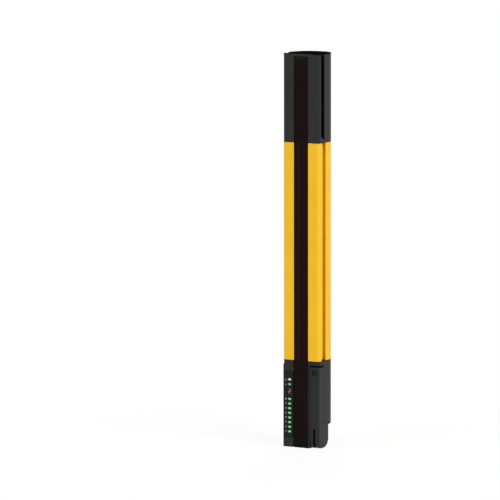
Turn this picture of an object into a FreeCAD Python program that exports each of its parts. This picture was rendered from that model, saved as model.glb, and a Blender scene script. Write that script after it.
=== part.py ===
import FreeCAD, Part
import math
import os
import re

import Sketcher
from FreeCAD import Vector

# Receiver bar of a two-piece safety light curtain.
# +Z runs up the bar, the front window faces -Y, and the origin is at the middle of the base.
# A depth is measured from the front plane, which lies at -depth/2 on the Y axis.

SIZES = [
    # name, millimetres, meaning
    ("width", 28, "across the bar"),
    ("depth", 26, "front plane to back"),
    ("bar_length", 270, "overall"),
    ("front_radius", 2, "front corners of the extrusion and top cap"),
    ("rear_radius", 12.4, "rounded back"),
    ("wall", 1.6, "moulded walls"),
    ("bottom_height", 60, "bottom housing with its gasket"),
    ("collar_height", 3, "band that closes the bottom housing"),
    ("cap_height", 61.3, "top cap with its gasket"),
    ("gasket", 0.3, "end gaskets"),
    ("gasket_inset", 0.4, "end gaskets stay inside the outline"),
    # front window and its seat
    ("window_width", 11, "window strip"),
    ("window_thickness", 2, "window strip"),
    ("window_low", 2, "lower end of the window"),
    ("window_high", 267.2, "upper end of the window"),
    ("seal", 0.3, "window seal thickness"),
    ("beam_gap", 8.2, "clear width behind the window"),
    ("front_wall", 3.6, "front wall with the window seat"),
    # extrusion
    ("cavity_half", 9.4, "half width of the hollow"),
    ("cavity_back", 11.2, "rear face of the hollow"),
    ("cavity_radius", 9, "rear corners of the hollow"),
    ("slot_front", 3.9, "depth at which the side slot opens"),
    ("slot_width", 5.3, "side slot mouth"),
    ("slot_sink", 2.6, "side slot, into the side"),
    ("undercut_front", 1.4, "side slot, towards the front"),
    ("undercut_rear", 2.4, "side slot, towards the back"),
    ("port_across", 8, "screw port, off the middle plane"),
    ("port_back", 6.4, "screw port, behind the middle"),
    ("port_boss", 2.7, "screw port boss radius"),
    ("port_bore", 1.3, "screw port bore radius"),
    ("rail", 1, "board rail thickness"),
    ("rail_reach", 1.4, "board rail, off the wall"),
    # top cap
    ("cap_slot_front", 2.7, "depth at which the cap slot opens"),
    ("cap_slot_width", 4.8, "cap slot mouth"),
    ("cap_slot_low", 212, "lower end of the cap slots"),
    ("cap_slot_slant", 3, "slant of that lower end"),
    ("cap_hollow_half", 9.9, "half width of the cap's hollow"),
    ("cap_hollow_back", 10.9, "rear face of the cap's hollow"),
    ("cap_hollow_top", 266.5, "ceiling of the cap's hollow"),
    ("crest_radius", 9.35, "half-disc on the top"),
    ("crest_depth", 1, "half-disc centre, behind the front plane"),
    ("crest_height", 1, "half-disc above the top face"),
    ("tongue_half", 3, "half width of the locating tongue"),
    ("tongue_back", 10.7, "rear face of the locating tongue"),
    ("tongue_reach", 5, "tongue below the cap"),
    ("tongue_thickness", 1.5, "locating tongue"),
    ("cap_screw_height", 260, "cap screw"),
    ("cap_screw_depth", 11.1, "cap screw, behind the front plane"),
    ("cap_screw_sink_radius", 2.65, "countersink on the side"),
    ("cap_screw_sink", 1.6, "countersink depth"),
    ("cap_screw_head_radius", 2.1, "pan head"),
    ("cap_screw_head", 0.9, "pan head height"),
    ("cap_screw_radius", 1.2, "thread"),
    ("cap_screw_length", 9.4, "thread length"),
    ("cap_standoff_radius", 3, "standoff round the screw"),
    # bottom housing
    ("split_depth", 6.3, "front and rear shells meet at this depth"),
    ("step_height", 15.3, "full depth stops at this height"),
    ("step_depth", 13.8, "depth below that"),
    ("step_bevel", 0.6, "rear lower edge"),
    ("strip_edge", 6.6, "right edge of the front shell"),
    ("ear_low", 48.5, "lower end of the left ear"),
    ("ear_front", 0.8, "front edge of the left ear"),
    ("ear_thickness", 0.8, "left ear"),
    ("notch_width", 3.6, "notch in the ear"),
    ("notch_height", 3, "notch in the ear"),
    ("relief_low", 55, "slanted relief over the plug, lower end"),
    ("relief_high", 57.8, "slanted relief over the plug, upper end"),
    ("relief_front", 2, "slanted relief, front edge at its foot"),
    ("relief_rear", 6.9, "slanted relief, rear edge at its top"),
    ("relief_width", 1.3, "slanted relief, front to back"),
    ("flange", 2.4, "top flange of the rear shell"),
    ("flange_window_back", 3, "rear edge of the flange's opening"),
    # indicators
    ("cover_left", 13, "display cover, outer edge"),
    ("cover_right", 6.2, "display cover, inner edge"),
    ("cover_low", 6.3, "display cover, lower end"),
    ("cover_high", 52.7, "display cover, upper end"),
    ("cover_thickness", 1, "display cover"),
    ("groove_sink", 0.8, "groove between the cover and the window"),
    ("tab_height", 1.8, "the groove stops here, above and below the cover"),
    ("light_across", 8.9, "middle of the indicators"),
    ("light_width", 2.6, "indicator windows"),
    ("light_tall", 1.6, "indicator windows"),
    ("light_sunk", 0.1, "indicators below the cover's face"),
    ("light_deep", 3, "indicators, front to back"),
    ("zone_low", 10.55, "lowest zone light"),
    ("zone_pitch", 3.2, "zone lights"),
    ("zone_count", 8, "zone lights"),
    ("digit_height", 38.3, "middle of the digit"),
    ("digit_wide", 3.4, "digit window"),
    ("digit_tall", 4.2, "digit window"),
    ("green_height", 43.1, "green status light"),
    ("amber_height", 46.4, "amber status light"),
    ("display_board_thickness", 0.8, "display board"),
    # disconnect plug
    ("plug_edge", 7, "left edge of the plug"),
    ("plug_top", 56.4, "top of the plug"),
    ("plug_depth", 6, "plug, front to back"),
    ("nose_height", 17, "plug nose"),
    ("nose_radius_front", 4.5, "nose, front lower edge"),
    ("nose_radius_back", 6.5, "nose, rear lower edge"),
    ("plug_corner", 0.9, "plug, outer corner"),
    ("nose_slot_across", 10.2, "slot in the nose"),
    ("nose_slot_width", 1.75, "slot in the nose"),
    ("nose_slot_high", 13.5, "upper end of the slot"),
    ("nose_slot_sink", 2.6, "slot depth"),
    ("plug_screw_across", 10.9, "captive screw"),
    ("plug_screw_height", 52.3, "captive screw"),
    ("plug_screw_head_radius", 2, "captive screw head"),
    ("plug_screw_recess", 1.6, "its counterbore depth"),
    ("plug_screw_recess_radius", 2.3, "its counterbore"),
    ("plug_screw_head", 1.3, "captive screw head height"),
    ("plug_screw_radius", 1.5, "captive screw thread"),
    ("plug_screw_length", 8, "captive screw thread length"),
    ("clearance", 0.1, "round moulded and turned parts"),
    ("contact_low", 29, "lowest contact row"),
    ("contact_pitch", 4, "contact rows"),
    ("contact_rows", 4, "contact rows"),
    ("contact_left", 9.4, "left contact column"),
    ("contact_step", 1.8, "contact columns"),
    ("pin_side", 0.64, "square pins"),
    ("sleeve_side", 1.1, "contacts in the plug"),
    ("socket_left", 8.4, "socket block"),
    ("socket_right", 12.2, "socket block"),
    ("socket_low", 26.6, "socket block"),
    ("socket_high", 43.4, "socket block"),
    # optics and boards
    ("chassis_half", 5, "half width of the optics chassis"),
    ("chassis_low", 19.2, "lower end of the chassis and receiver board"),
    ("chassis_high", 264, "upper end of the chassis"),
    ("lens_plate", 1, "lens strip thickness"),
    ("lens_radius", 3.2, "lenses and light bores"),
    ("lens_bulge", 0.8, "lens crown"),
    ("beam_first", 27, "lowest beam"),
    ("beam_pitch", 20, "beams"),
    ("beam_count", 12, "beams"),
    ("board_front", 13.2, "receiver board, behind the front plane"),
    ("board_thickness", 1.6, "receiver board"),
    ("board_half", 9.2, "half width of the receiver board"),
    ("board_high", 256.8, "upper end of the receiver board"),
    ("diode_side", 3, "photodiodes"),
    ("diode_thickness", 1.2, "photodiodes"),
    ("chip_side", 7, "processor chips"),
    ("chip_thickness", 1.4, "processor chips"),
    ("clip_half", 1.3, "half width of the ground clip"),
]

doc = FreeCAD.newDocument("light_curtain")
sheet = doc.addObject("Spreadsheet::Sheet", "dims")
for row, (alias, amount, meaning) in enumerate(SIZES, start=1):
    sheet.set(f"A{row}", meaning)
    sheet.set(f"B{row}", str(amount))
    sheet.setAlias(f"B{row}", alias)
doc.recompute()

FRONT = "(-depth / 2)"
SUB_PARTS = []


def on_sheet(text):
    """Write a sum of size names as an expression on the sheet."""
    return re.sub(r"[a-z][a-z_]*", lambda name: "dims." + name.group(), str(text))


def size(text):
    """Work out such a sum."""
    return float(sheet.evalExpression(on_sheet(text)))


def behind(text):
    """Y of a place that lies so far behind the front plane."""
    return f"({text}) - depth / 2"


def new_body(label, height="0"):
    """Start a sub-part, with its base at a height."""
    body = doc.addObject("PartDesign::Body", label)
    body.Label = label
    body.AllowCompound = True
    body.setExpression("Placement.Base.z", on_sheet(height))
    SUB_PARTS.append(body)
    return body


def new_sketch(body, plane="XY_Plane", offset="0"):
    """A sketch on one of the body's own planes, moved along that plane's normal."""
    made = body.newObject("Sketcher::SketchObject", "Sketch")
    origin_plane = [item for item in body.Origin.OriginFeatures if item.Role == plane][0]
    made.AttachmentSupport = [(origin_plane, "")]
    made.MapMode = "FlatFace"
    made.setExpression("AttachmentOffset.Base.z", on_sheet(offset))
    return made


def pin_point(sketch, geometry, position, across, up):
    """Tie a point of a sketch to its axes by two driving dimensions."""
    for kind, axis, text in (("DistanceX", -2, across), ("DistanceY", -1, up)):
        amount = size(text)
        if abs(amount) < 1e-9:
            sketch.addConstraint(Sketcher.Constraint("PointOnObject", geometry, position, axis))
            continue
        index = sketch.addConstraint(Sketcher.Constraint(kind, -1, 1, geometry, position, amount))
        sketch.setExpression(f"Constraints[{index}]", on_sheet(text))


def draw_outline(sketch, corners):
    """Closed outline of straight sides through corners given as sums of sizes."""
    points = [Vector(size(across), size(up), 0) for across, up in corners]
    first = sketch.GeometryCount
    count = len(points)
    for index, point in enumerate(points):
        sketch.addGeometry(Part.LineSegment(point, points[(index + 1) % count]), False)
    for index, (across, up) in enumerate(corners):
        joined = first + (index + 1) % count
        sketch.addConstraint(Sketcher.Constraint("Coincident", first + index, 2, joined, 1))
        pin_point(sketch, first + index, 1, across, up)


def draw_box(sketch, left, right, low, high):
    draw_outline(sketch, [(left, low), (right, low), (right, high), (left, high)])


def draw_circle(sketch, across, up, radius):
    centre = Vector(size(across), size(up), 0)
    index = sketch.addGeometry(Part.Circle(centre, Vector(0, 0, 1), size(radius)), False)
    pin_point(sketch, index, 3, across, up)
    row = sketch.addConstraint(Sketcher.Constraint("Radius", index, size(radius)))
    sketch.setExpression(f"Constraints[{row}]", on_sheet(radius))


def draw_plan(sketch, half, front, back, radius):
    """Flat front, flat sides and two rear corners of the given radius."""
    bend = f"{back} - ({radius})"
    flat = f"({half}) - ({radius})"
    runs = [((f"-({half})", front), (half, front)), ((half, front), (half, bend)),
            ((flat, back), (f"-({flat})", back)), ((f"-({half})", bend), (f"-({half})", front))]
    first = sketch.GeometryCount
    for start, end in runs:
        sketch.addGeometry(Part.LineSegment(Vector(size(start[0]), size(start[1]), 0),
                                            Vector(size(end[0]), size(end[1]), 0)), False)
    corners = [(f"({flat})", 0, first + 1, first + 2), (f"-({flat})", 90, first + 2, first + 3)]
    for centre, turn, before, after in corners:
        circle = Part.Circle(Vector(size(centre), size(bend), 0), Vector(0, 0, 1), size(radius))
        arc = sketch.addGeometry(Part.ArcOfCircle(circle, math.radians(turn),
                                                  math.radians(turn + 90)), False)
        sketch.addConstraint(Sketcher.Constraint("Coincident", before, 2, arc, 1))
        sketch.addConstraint(Sketcher.Constraint("Coincident", arc, 2, after, 1))
        row = sketch.addConstraint(Sketcher.Constraint("Radius", arc, size(radius)))
        sketch.setExpression(f"Constraints[{row}]", on_sheet(radius))
    for before, after in ((first, first + 1), (first + 3, first)):
        sketch.addConstraint(Sketcher.Constraint("Coincident", before, 2, after, 1))
    for index, (start, end) in enumerate(runs):
        pin_point(sketch, first + index, 1, *start)
    for index in (1, 2):
        pin_point(sketch, first + index, 2, *runs[index][1])


def extrude(body, kind, sketch, length, reverse):
    doc.recompute()
    before = 0 if body.Shape.isNull() else body.Shape.Volume
    made = body.newObject(kind, kind.split("::")[1])
    made.Profile = sketch
    made.Reversed = reverse
    made.setExpression("Length", on_sheet(length))
    doc.recompute()
    change = made.Shape.Volume - before
    wrong = change <= 0 if kind == "PartDesign::Pad" else change >= 0
    if wrong:
        raise RuntimeError(f"{body.Label}: {made.Name} changes nothing")
    return made


def pad(body, sketch, length, reverse=False):
    return extrude(body, "PartDesign::Pad", sketch, length, reverse)


def pocket(body, sketch, length, reverse=False):
    return extrude(body, "PartDesign::Pocket", sketch, length, reverse)


def edges_at(body, **place):
    """Names of the edges that lie wholly at the given x, y or z, in the body's own frame."""
    doc.recompute()
    shape = body.Tip.Shape
    found = []
    for index, edge in enumerate(shape.Edges, start=1):
        ends = [vertex.Point for vertex in edge.Vertexes]
        near = all(abs(getattr(end, axis) - size(text)) < 0.01 for end in ends
                   for axis, text in place.items())
        if near:
            found.append(f"Edge{index}")
    if not found:
        raise RuntimeError(f"{body.Label}: no edge at {place}")
    return found


def dress(body, kind, setting, names, amount):
    base = body.Tip
    made = body.newObject(kind, kind.split("::")[1])
    made.Base = (base, names)
    made.setExpression(setting, on_sheet(amount))
    doc.recompute()
    return made


def fillet(body, names, radius):
    return dress(body, "PartDesign::Fillet", "Radius", names, radius)


def chamfer(body, names, amount):
    return dress(body, "PartDesign::Chamfer", "Size", names, amount)


def repeat(body, feature, axis, pitch, count):
    """Line of copies of one feature along an origin axis."""
    doc.recompute()
    made = body.newObject("PartDesign::LinearPattern", "LinearPattern")
    made.Originals = [feature]
    line = [item for item in body.Origin.OriginFeatures if item.Role == axis][0]
    made.Direction = (line, [""])
    made.setExpression("Length", on_sheet(f"({pitch}) * ({count} - 1)"))
    made.setExpression("Occurrences", on_sheet(count))
    body.Tip = made
    doc.recompute()
    return made


def pad_plan(body, length, inset="0"):
    """The bar's outline, or one that lies evenly inside it."""
    plan = new_sketch(body)
    draw_plan(plan, f"width / 2 - {inset}", f"-depth / 2 + {inset}", f"depth / 2 - {inset}",
              f"rear_radius - {inset}")
    pad(body, plan, length)


def round_front(body, radius):
    for side in ("-", ""):
        fillet(body, edges_at(body, x=f"{side}width / 2", y=FRONT), radius)


def cut_window_seat(body, low, high, gap_low, gap_high):
    """Shallow seat for the window strip, and the clear opening behind it."""
    seat = new_sketch(body, "XZ_Plane", "depth / 2")
    draw_box(seat, "-window_width / 2", "window_width / 2", low, high)
    pocket(body, seat, "window_thickness + seal")
    opening = new_sketch(body, "XZ_Plane", "depth / 2")
    draw_box(opening, "-beam_gap / 2", "beam_gap / 2", gap_low, gap_high)
    pocket(body, opening, "front_wall")


def cut_hollow(body, half, front, back, radius, base, height):
    """Hollow with rounded rear corners, cut from one height up to another."""
    hollow = new_sketch(body, "XY_Plane", height)
    draw_plan(hollow, half, front, back, radius)
    pocket(body, hollow, f"{height} - ({base})")


# ---------------------------------------------------------------- extrusion

def housing_profile():
    length = "bar_length - bottom_height - cap_height"
    body = new_body("housing_profile", "bottom_height")
    pad_plan(body, length)
    round_front(body, "front_radius")
    cut_hollow(body, "cavity_half", behind("front_wall"), "cavity_back", "cavity_radius",
               "0", length)

    ports = new_sketch(body)
    for side in ("-", ""):
        draw_circle(ports, side + "port_across", "port_back", "port_boss")
    pad(body, ports, length)
    bores = new_sketch(body, "XY_Plane", length)
    for side in ("-", ""):
        draw_circle(bores, side + "port_across", "port_back", "port_bore")
    pocket(body, bores, length)

    rails = new_sketch(body)
    board = behind("board_front")
    for side in ("-", ""):
        wall = f"{side}(cavity_half + rail)"
        tip = f"{side}(cavity_half - rail_reach)"
        draw_box(rails, wall, tip, f"{board} - clearance - rail", f"{board} - clearance")
        rear = f"{board} + board_thickness + clearance"
        draw_box(rails, wall, tip, rear, f"{rear} + rail")
    pad(body, rails, length)

    seat = new_sketch(body, "XY_Plane", length)
    draw_box(seat, "-window_width / 2", "window_width / 2",
             FRONT, behind("window_thickness + seal"))
    pocket(body, seat, length)
    opening = new_sketch(body, "XY_Plane", length)
    draw_box(opening, "-beam_gap / 2", "beam_gap / 2",
             behind("window_thickness"), behind("front_wall + rail"))
    pocket(body, opening, length)

    slots = new_sketch(body, "XY_Plane", length)
    for side in ("-", ""):
        mouth = f"{side}width / 2"
        floor = f"{side}(width / 2 - slot_sink)"
        draw_outline(slots, [(mouth, behind("slot_front")),
                             (mouth, behind("slot_front + slot_width")),
                             (floor, behind("slot_front + slot_width + undercut_rear")),
                             (floor, behind("slot_front - undercut_front"))])
    pocket(body, slots, length)


# ---------------------------------------------------------------- window

def front_window():
    body = new_body("front_window", "window_low")
    plate = new_sketch(body)
    draw_box(plate, "-window_width / 2", "window_width / 2", FRONT, behind("window_thickness"))
    pad(body, plate, "window_high - window_low")
    chamfer(body, edges_at(body, y=FRONT, z="window_high - window_low"), "window_thickness * 0.4")


def window_gasket():
    body = new_body("window_gasket", "window_low")
    frame = new_sketch(body, "XZ_Plane", "depth / 2 - window_thickness")
    rim = "(window_width - beam_gap) / 2"
    draw_box(frame, "-window_width / 2", "window_width / 2", "0", "window_high - window_low")
    draw_box(frame, "-beam_gap / 2", "beam_gap / 2",
             rim, f"window_high - window_low - {rim}")
    pad(body, frame, "seal", reverse=True)


# ---------------------------------------------------------------- top cap

def top_end_cap():
    base = "(bar_length - cap_height + gasket)"
    height = "(cap_height - gasket - crest_height)"
    body = new_body("top_end_cap", base)
    pad_plan(body, height)
    round_front(body, "front_radius")
    cut_hollow(body, "cap_hollow_half", behind("front_wall"), "cap_hollow_back",
               "cavity_radius", "0", f"cap_hollow_top - {base}")

    crest = new_sketch(body, "XY_Plane", height)
    draw_circle(crest, "0", behind("crest_depth"), "crest_radius")
    pad(body, crest, "crest_height")
    trim = new_sketch(body, "XY_Plane", f"{height} + crest_height")
    draw_box(trim, "-width / 2", "width / 2", "-depth", FRONT)
    pocket(body, trim, "crest_height")

    # slots that receive the end bracket, open at the top and slanted at the lower end
    for side in ("-", ""):
        slot = new_sketch(body, "YZ_Plane", f"{side}width / 2")
        front = behind("cap_slot_front")
        back = behind("cap_slot_front + cap_slot_width")
        draw_outline(slot, [(front, f"cap_slot_low + cap_slot_slant - {base}"),
                            (back, f"cap_slot_low - {base}"),
                            (back, height), (front, height)])
        pocket(body, slot, "slot_sink", reverse=side == "-")

    cut_window_seat(body, "0", f"window_high - {base}", "0", f"chassis_high - {base}")

    standoff = new_sketch(body, "YZ_Plane", "-width / 2 + wall")
    screw_height = f"cap_screw_height - {base}"
    screw_depth = behind("cap_screw_depth")
    draw_circle(standoff, screw_depth, screw_height, "cap_standoff_radius")
    pad(body, standoff, "width / 2 - wall - chassis_half")
    sink = new_sketch(body, "YZ_Plane", "-width / 2")
    draw_circle(sink, screw_depth, screw_height, "cap_screw_sink_radius")
    pocket(body, sink, "cap_screw_sink", reverse=True)
    bore = new_sketch(body, "YZ_Plane", "-width / 2")
    draw_circle(bore, screw_depth, screw_height, "cap_screw_radius + clearance")
    pocket(body, bore, "width / 2 - chassis_half", reverse=True)

    tongue = new_sketch(body, "XY_Plane", "tongue_reach")
    draw_box(tongue, "-tongue_half", "tongue_half", "tongue_back - tongue_thickness", "tongue_back")
    pad(body, tongue, "2 * tongue_reach", reverse=True)
    root = new_sketch(body, "XY_Plane", "tongue_reach")
    draw_box(root, "-tongue_half", "tongue_half", "tongue_back - tongue_thickness",
             "cap_hollow_back + tongue_thickness / 2")
    pad(body, root, "tongue_reach", reverse=True)


def end_gasket(label, height):
    body = new_body(label, height)
    pad_plan(body, "gasket", "gasket_inset")
    openings = [("cavity_half", behind("front_wall"), "flange_window_back"),
                ("port_across - port_boss", "flange_window_back - wall", "tongue_back + clearance"),
                ("window_width / 2", FRONT, behind("window_thickness + seal")),
                ("beam_gap / 2", behind("window_thickness"), behind("front_wall + seal"))]
    for half, front, back in openings:
        hollow = new_sketch(body, "XY_Plane", "gasket")
        draw_box(hollow, f"-({half})", half, front, back)
        pocket(body, hollow, "gasket")
    ports = new_sketch(body, "XY_Plane", "gasket")
    for side in ("-", ""):
        draw_circle(ports, side + "port_across", "port_back", "port_bore + clearance")
    pocket(body, ports, "gasket")


def cap_screw():
    body = new_body("cap_screw")
    depth = behind("cap_screw_depth")
    seat = "-width / 2 + cap_screw_sink"
    head = new_sketch(body, "YZ_Plane", seat)
    draw_circle(head, depth, "cap_screw_height", "cap_screw_head_radius")
    pad(body, head, "cap_screw_head", reverse=True)
    chamfer(body, edges_at(body, x=f"{seat} - cap_screw_head"), "cap_screw_head / 2")
    shank = new_sketch(body, "YZ_Plane", seat)
    draw_circle(shank, depth, "cap_screw_height", "cap_screw_radius")
    pad(body, shank, "cap_screw_length")
    cut_drive(body, "YZ_Plane", f"{seat} - cap_screw_head", depth, "cap_screw_height",
              "cap_screw_head_radius * 0.62", "cap_screw_head * 0.5", reverse=True)


def cut_drive(body, plane, offset, across, up, reach, sink, reverse=False):
    """Cross recess in a screw head."""
    cross = new_sketch(body, plane, offset)
    arm = f"({reach}) * 0.24"
    steps = [("-", "-", arm, reach), ("", "-", arm, reach), ("", "-", arm, arm),
             ("", "-", reach, arm), ("", "", reach, arm), ("", "", arm, arm),
             ("", "", arm, reach), ("-", "", arm, reach), ("-", "", arm, arm),
             ("-", "", reach, arm), ("-", "-", reach, arm), ("-", "-", arm, arm)]
    draw_outline(cross, [(f"({across}) + {sx}1 * ({dx})", f"({up}) + {sy}1 * ({dy})")
                         for sx, sy, dx, dy in steps])
    pocket(body, cross, sink, reverse)


# ---------------------------------------------------------------- bottom housing

def cut_relief(body):
    """Slanted groove on the right side, where a screwdriver lifts the plug."""
    relief = new_sketch(body, "YZ_Plane", "width / 2")
    draw_outline(relief, [(behind("relief_front"), "relief_low"),
                          (behind("relief_front + relief_width"), "relief_low"),
                          (behind("relief_rear"), "relief_high"),
                          (behind("relief_rear - relief_width"), "relief_high")])
    pocket(body, relief, "slot_sink")


def rear_shell():
    body = new_body("rear_shell")
    top = "(bottom_height - gasket)"
    pad_plan(body, top)
    round_front(body, "front_radius")

    # below the step the housing is only as deep as the plug's nose
    step = new_sketch(body, "XY_Plane", "step_height")
    draw_box(step, "-width / 2", "width / 2", behind("step_depth"), "depth / 2")
    pocket(body, step, "step_height")
    inner = edges_at(body, y=behind("step_depth"))
    chamfer(body, [edge for edge in edges_at(body, z="step_height") if edge not in inner],
            "step_bevel")
    # room for the front shell
    split = new_sketch(body, "XY_Plane", "bottom_height - collar_height")
    draw_box(split, "-width / 2", "width / 2", FRONT, behind("split_depth"))
    pocket(body, split, "bottom_height - collar_height")
    # room for the plug's nose
    nose = new_sketch(body, "XY_Plane", "nose_height + clearance * 3")
    draw_box(nose, "strip_edge", "width / 2", FRONT, behind("step_depth"))
    pocket(body, nose, "nose_height + clearance * 3")

    # hollow: main chamber, lower chamber, and the mouth towards the front shell
    floor = "nose_height + clearance * 3 + wall"
    ceiling = f"{top} - flange"
    cut_hollow(body, "width / 2 - wall", behind("split_depth + wall"), "cavity_back",
               "cavity_radius", floor, ceiling)
    lower = new_sketch(body, "XY_Plane", floor)
    draw_box(lower, "-width / 2 + wall", "strip_edge - wall",
             behind("split_depth"), behind("step_depth - wall"))
    pocket(body, lower, f"{floor} - wall")
    mouth = new_sketch(body, "XZ_Plane", "depth / 2 - split_depth")
    draw_box(mouth, "-width / 2 + wall", "strip_edge - wall", floor, ceiling)
    pocket(body, mouth, "wall * 2")

    # flange: opening for the optics and boards, and screw holes
    opening = new_sketch(body, "XY_Plane", top)
    draw_box(opening, "-cavity_half", "cavity_half", behind("front_wall"), "flange_window_back")
    pocket(body, opening, "collar_height + flange")
    screws = new_sketch(body, "XY_Plane", top)
    for side in ("-", ""):
        draw_circle(screws, side + "port_across", "port_back", "port_bore + clearance")
    pocket(body, screws, "flange + wall")
    seat = new_sketch(body, "XZ_Plane", "depth / 2")
    draw_box(seat, "-window_width / 2", "window_width / 2", "bottom_height - collar_height", top)
    pocket(body, seat, "window_thickness + seal")
    gap = new_sketch(body, "XZ_Plane", "depth / 2")
    draw_box(gap, "-beam_gap / 2", "beam_gap / 2", "bottom_height - collar_height", top)
    pocket(body, gap, "front_wall + wall")
    groove = new_sketch(body, "XZ_Plane", "depth / 2")
    draw_box(groove, "-cover_right", "-window_width / 2", "bottom_height - collar_height", top)
    pocket(body, groove, "groove_sink")

    # left ear: it reaches forward beside the front shell, with a notch at its foot
    ear = new_sketch(body, "YZ_Plane", "-width / 2")
    corner = behind("split_depth")
    draw_outline(ear, [(corner, "ear_low + notch_height"),
                       (behind("split_depth - notch_width / 4"), "ear_low + notch_height"),
                       (behind("split_depth - notch_width"), "ear_low"),
                       (behind("ear_front + clearance"), "ear_low"),
                       (behind("ear_front + clearance"), "bottom_height - collar_height"),
                       (corner, "bottom_height - collar_height")])
    pad(body, ear, "ear_thickness")

    cut_relief(body)

    # socket opening and captive screw boss behind the plug
    socket = new_sketch(body, "XZ_Plane", "depth / 2 - split_depth")
    draw_box(socket, "socket_left", "socket_right", "socket_low", "socket_high")
    pocket(body, socket, "wall * 2")
    boss = new_sketch(body, "XZ_Plane", "depth / 2 - split_depth - wall / 2")
    draw_circle(boss, "plug_screw_across", "plug_screw_height", "plug_screw_radius * 2")
    pad(body, boss, "plug_screw_length / 2", reverse=True)
    thread = new_sketch(body, "XZ_Plane", "depth / 2 - split_depth")
    draw_circle(thread, "plug_screw_across", "plug_screw_height",
                "plug_screw_radius + clearance / 2")
    pocket(body, thread, "plug_screw_length")


def front_shell():
    body = new_body("front_shell")
    top = "bottom_height - collar_height"
    block = new_sketch(body)
    draw_box(block, "-width / 2", "strip_edge", FRONT, behind("split_depth"))
    pad(body, block, top)
    fillet(body, edges_at(body, x="-width / 2", y=FRONT), "front_radius / 3")
    hollow = new_sketch(body, "XY_Plane", top)
    draw_box(hollow, "-width / 2 + wall", "strip_edge - wall", behind("front_wall"),
             behind("split_depth"))
    pocket(body, hollow, f"{top} - wall")
    cut_window_seat(body, "window_low", top, "chassis_low", top)

    # the ear of the rear shell takes the place of the side wall at the top
    ear = new_sketch(body, "YZ_Plane", "-width / 2")
    draw_box(ear, behind("ear_front"), behind("split_depth"), "ear_low - clearance", top)
    pocket(body, ear, "ear_thickness + clearance", reverse=True)
    notch = new_sketch(body, "YZ_Plane", "-width / 2")
    draw_box(notch, behind("split_depth - notch_width"), behind("split_depth"),
             "ear_low - clearance", "ear_low + notch_height")
    pocket(body, notch, "wall", reverse=True)

    cover = new_sketch(body, "XZ_Plane", "depth / 2")
    draw_box(cover, "-cover_left", "-cover_right", "cover_low", "cover_high")
    pocket(body, cover, "cover_thickness")
    groove = new_sketch(body, "XZ_Plane", "depth / 2")
    for low, high in (("0", "cover_low - tab_height"), ("cover_low", "cover_high"),
                      ("cover_high + tab_height", top)):
        draw_box(groove, "-cover_right", "-window_width / 2", low, high)
    pocket(body, groove, "groove_sink")
    lights = new_sketch(body, "XZ_Plane", "depth / 2")
    margin = "(light_width / 2 + clearance * 3)"
    draw_box(lights, f"-light_across - {margin}", f"-light_across + {margin}",
             "zone_low - light_tall", "amber_height + light_tall")
    pocket(body, lights, "front_wall + wall")


# ---------------------------------------------------------------- indicators

def light_rows():
    """Heights of the small indicator windows."""
    return ["green_height", "amber_height"]


def draw_light(sketch, height, grow="0"):
    half = f"(light_width / 2 + {grow})"
    tall = f"(light_tall / 2 + {grow})"
    draw_box(sketch, f"-light_across - {half}", f"-light_across + {half}",
             f"{height} - {tall}", f"{height} + {tall}")


def draw_digit(sketch, grow="0"):
    draw_box(sketch, f"-light_across - digit_wide / 2 - {grow}",
             f"-light_across + digit_wide / 2 + {grow}",
             f"digit_height - digit_tall / 2 - {grow}", f"digit_height + digit_tall / 2 + {grow}")


def display_cover():
    body = new_body("display_cover")
    plate = new_sketch(body, "XZ_Plane", "depth / 2")
    gap = "clearance / 2"
    draw_box(plate, f"-cover_left + {gap}", f"-cover_right - {gap}",
             f"cover_low + {gap}", f"cover_high - {gap}")
    pad(body, plate, "cover_thickness", reverse=True)
    windows = new_sketch(body, "XZ_Plane", "depth / 2")
    for height in light_rows():
        draw_light(windows, height)
    draw_digit(windows)
    pocket(body, windows, "cover_thickness")
    zone = new_sketch(body, "XZ_Plane", "depth / 2")
    draw_light(zone, "zone_low")
    repeat(body, pocket(body, zone, "cover_thickness"), "Z_Axis", "zone_pitch", "zone_count")


def status_light(label, height):
    body = new_body(label)
    pipe = new_sketch(body, "XZ_Plane", "depth / 2 - light_sunk")
    draw_light(pipe, height)
    pad(body, pipe, "light_deep - light_sunk", reverse=True)


def zone_light_guide():
    body = new_body("zone_light_guide")
    backbone = new_sketch(body, "XZ_Plane", "depth / 2 - cover_thickness")
    draw_box(backbone, "-light_across - light_width / 2", "-light_across + light_width / 2",
             "zone_low - light_tall / 2",
             "zone_low + zone_pitch * (zone_count - 1) + light_tall / 2")
    pad(body, backbone, "light_deep - cover_thickness", reverse=True)
    tip = new_sketch(body, "XZ_Plane", "depth / 2 - light_sunk")
    draw_light(tip, "zone_low")
    repeat(body, pad(body, tip, "cover_thickness - light_sunk", reverse=True),
           "Z_Axis", "zone_pitch", "zone_count")


def digit_display():
    body = new_body("digit_display")
    face = new_sketch(body, "XZ_Plane", "depth / 2 - light_sunk")
    draw_digit(face)
    pad(body, face, "cover_thickness - light_sunk", reverse=True)
    block = new_sketch(body, "XZ_Plane", "depth / 2 - cover_thickness")
    draw_box(block, "-light_across - light_width / 2", "-light_across + light_width / 2",
             "digit_height - digit_tall / 2", "digit_height + digit_tall / 2")
    pad(body, block, "light_deep - cover_thickness", reverse=True)


def display_leds():
    """One chip behind each indicator, on the face of the display board."""
    body = new_body("display_leds")
    chip = new_sketch(body, "XZ_Plane", "depth / 2 - light_deep")
    for height in light_rows():
        draw_light(chip, height, "-clearance * 3")
    pad(body, chip, "front_wall + wall - light_deep", reverse=True)
    zone = new_sketch(body, "XZ_Plane", "depth / 2 - light_deep")
    draw_light(zone, "zone_low", "-clearance * 3")
    repeat(body, pad(body, zone, "front_wall + wall - light_deep", reverse=True),
           "Z_Axis", "zone_pitch", "zone_count")


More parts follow.
